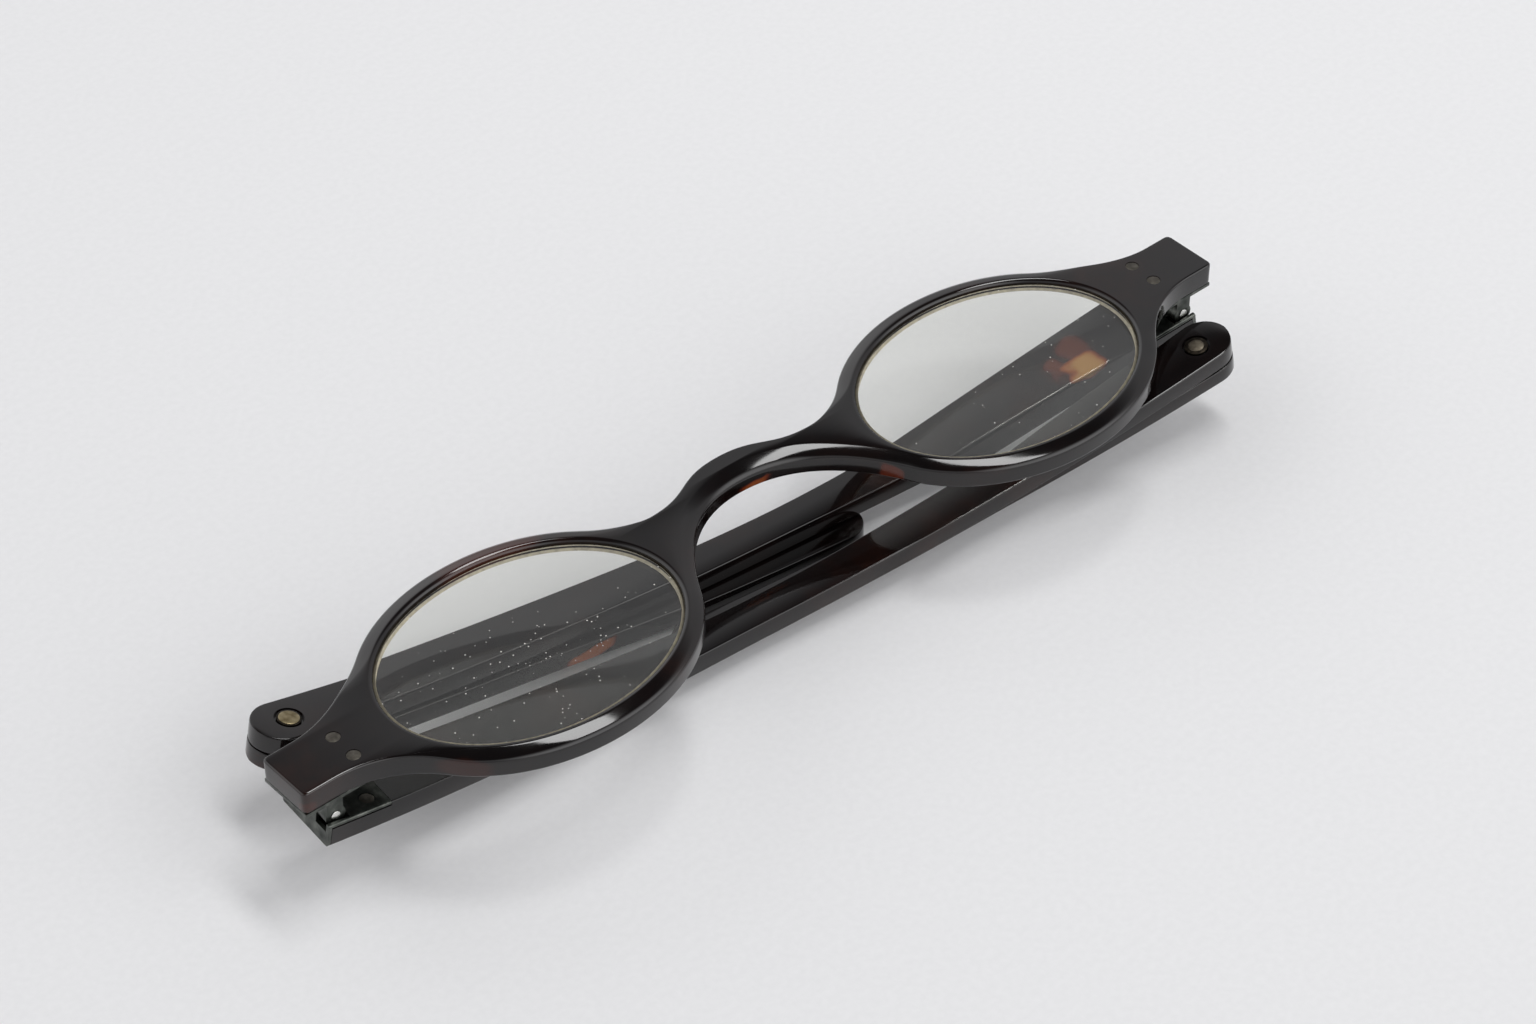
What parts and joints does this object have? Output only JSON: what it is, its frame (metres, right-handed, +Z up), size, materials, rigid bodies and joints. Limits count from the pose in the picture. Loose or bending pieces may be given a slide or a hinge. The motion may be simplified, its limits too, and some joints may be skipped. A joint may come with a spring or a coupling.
{
  "type": "turn-pin spectacles",
  "caption": "Antique spectacles: dark tortoiseshell front with oval glass lenses, hinged sides, and rear bars that swing round on turn pins so that the sides fold up short.",
  "frame": {"origin": "on the table, under the middle of the front between the lenses", "axes": "+X along the front to its right end, +Y towards the brow, +Z up through the front's face"},
  "size_m": [0.121, 0.0284, 0.0141],
  "materials": {
    "tortoiseshell": "hand-polished dark shell, translucent red-brown at thin edges",
    "lens_glass": "clear polished glass, lightly dusty",
    "hinge_steel": "filed nickel-grey metal, dulled in the recesses",
    "pin_brass": "aged brass, worn bright on the raised parts"
  },
  "bodies": {
    "front": {"front_frame": "tortoiseshell", "left_lens": "lens_glass", "right_lens": "lens_glass", "left_front_leaf": "hinge_steel", "right_front_leaf": "hinge_steel", "left_hinge_pin": "hinge_steel", "right_hinge_pin": "hinge_steel", "left_end_rivet_upper": "pin_brass", "left_end_rivet_lower": "pin_brass", "right_end_rivet_upper": "pin_brass", "right_end_rivet_lower": "pin_brass"},
    "left_side": {"left_front_bar": "tortoiseshell", "left_side_leaf": "hinge_steel", "left_leaf_rivet_upper": "pin_brass", "left_leaf_rivet_lower": "pin_brass", "left_turn_pin": "pin_brass", "left_pin_washer": "pin_brass"},
    "right_side": {"right_front_bar": "tortoiseshell", "right_side_leaf": "hinge_steel", "right_leaf_rivet_upper": "pin_brass", "right_leaf_rivet_lower": "pin_brass", "right_turn_pin": "pin_brass", "right_pin_washer": "pin_brass"},
    "left_rear": {"left_rear_bar": "tortoiseshell"},
    "right_rear": {"right_rear_bar": "tortoiseshell"}
  },
  "joints": [
    {"name": "left_side_hinge", "type": "hinge", "parent": "front", "child": "left_side", "pos_m": [-0.05685, 0.0006, 0.00915], "axis": [0.0776, 0.997, 0], "range_deg": [0, 92]},
    {"name": "right_side_hinge", "type": "hinge", "parent": "front", "child": "right_side", "pos_m": [0.05685, 0.0006, 0.00915], "axis": [-0.088, -0.9961, 0], "range_deg": [0, 92]},
    {"name": "left_turn_pin", "type": "hinge", "parent": "left_side", "child": "left_rear", "pos_m": [0.05302, -0.00795, 0.00986], "axis": [-0.1934, 0.0151, 0.981], "range_deg": [0, 182.3]},
    {"name": "right_turn_pin", "type": "hinge", "parent": "right_side", "child": "right_rear", "pos_m": [-0.05292, 0.0103, 0.00986], "axis": [0.1932, -0.0171, 0.981], "range_deg": [0, 181.5]}
  ]
}
